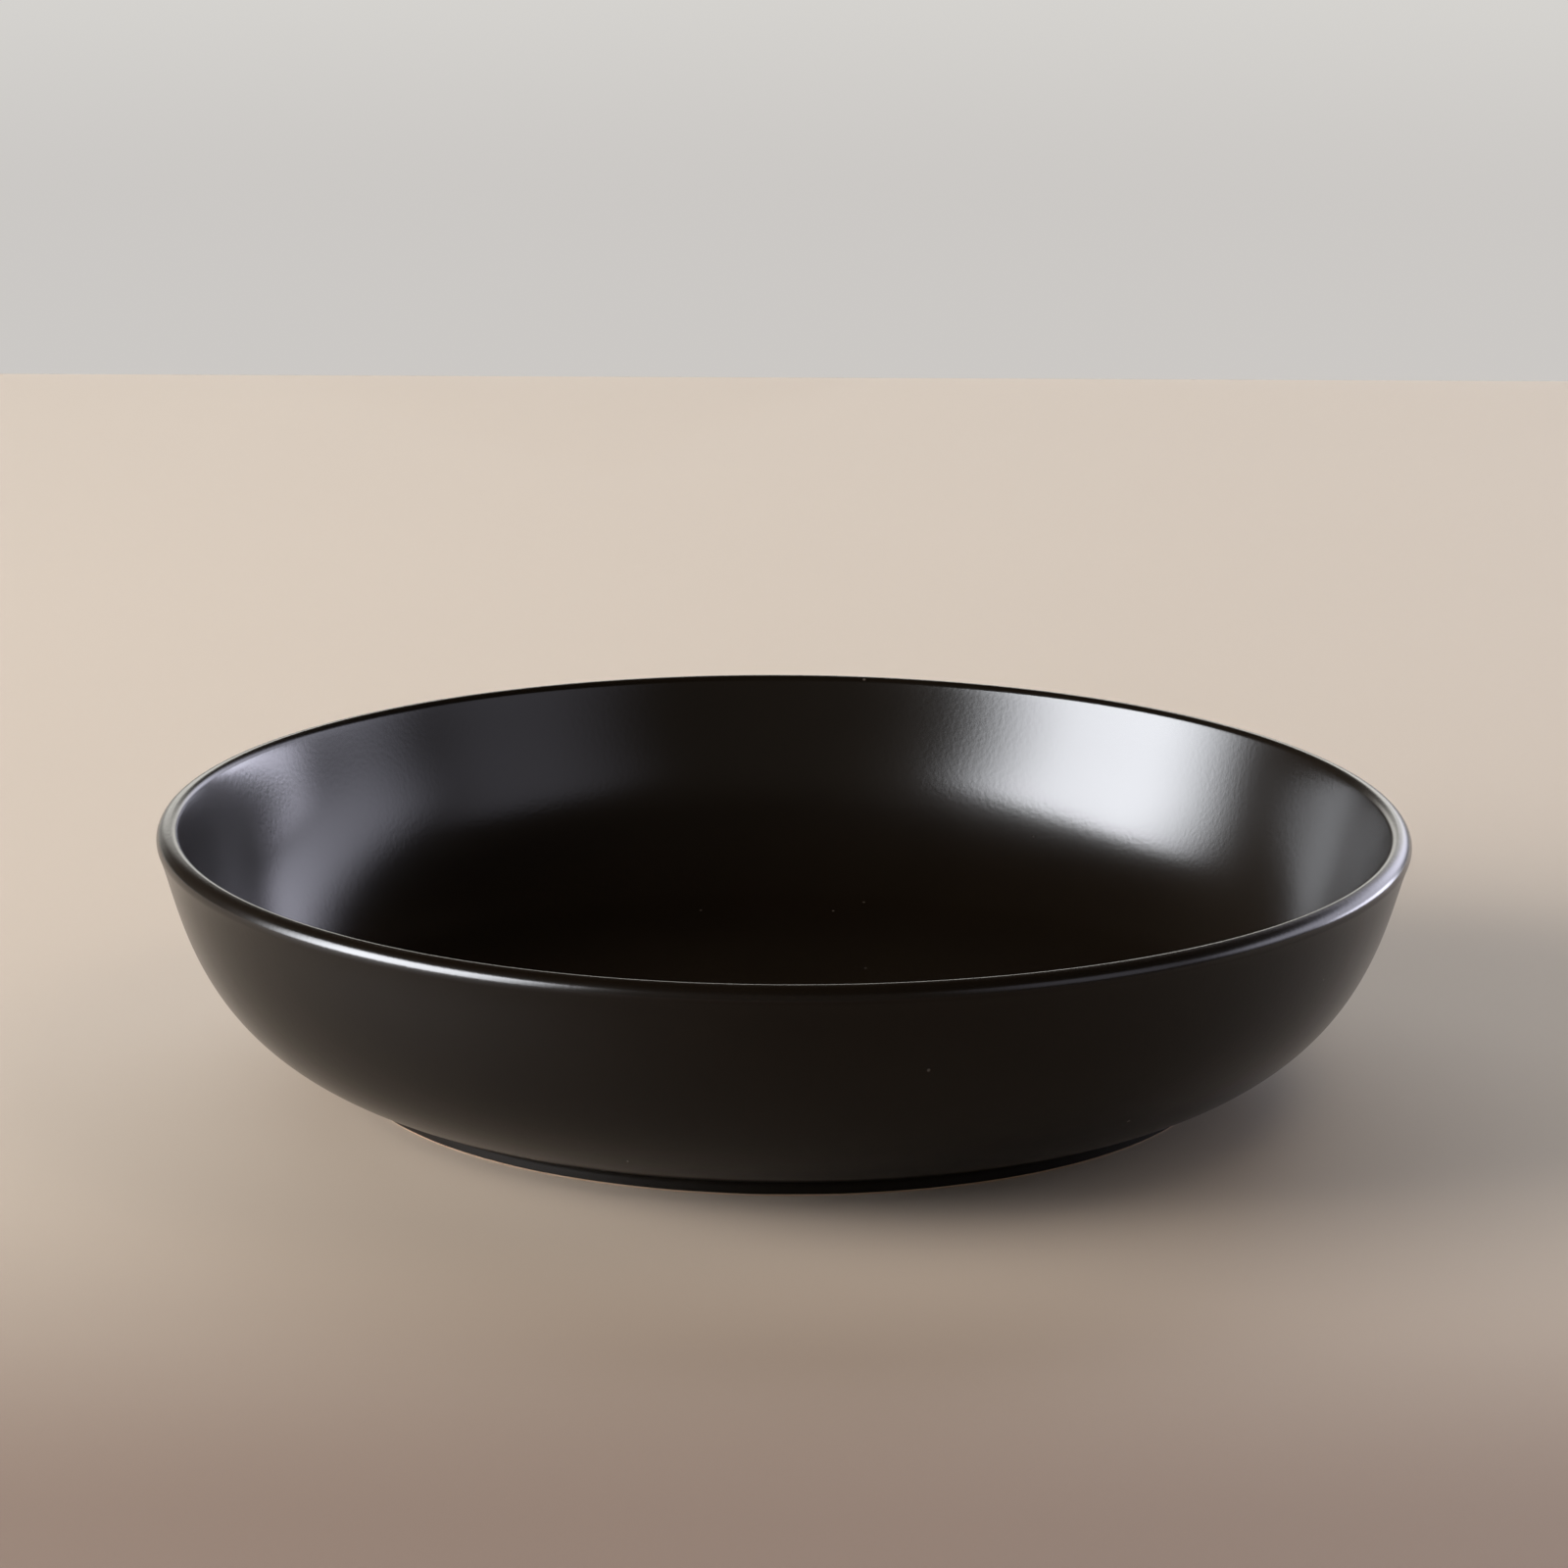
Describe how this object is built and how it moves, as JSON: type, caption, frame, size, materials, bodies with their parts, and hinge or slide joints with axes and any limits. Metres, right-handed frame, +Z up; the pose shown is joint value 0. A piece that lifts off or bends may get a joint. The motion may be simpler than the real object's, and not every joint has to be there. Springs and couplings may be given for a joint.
{
  "type": "pasta bowl",
  "caption": "Wide, low stoneware pasta bowl with a coupe wall, a rounded rim, a low foot ring and a satin black glaze.",
  "frame": {"origin": "centre of the foot ring's resting face, on the table", "axes": "+Z up along the bowl's axis of turning; X and Y lie in the table and are alike"},
  "size_m": [0.24, 0.24, 0.05],
  "materials": {
    "bare_stoneware": "fired clay, unglazed and lightly sanded where the foot ring rests",
    "satin_black_glaze": "satin black glaze, warm near-black, smooth, with soft-edged reflections"
  },
  "bodies": {
    "root": {"stoneware_body": "bare_stoneware", "glaze_coat": "satin_black_glaze", "well_glaze": "satin_black_glaze"}
  },
  "joints": []
}
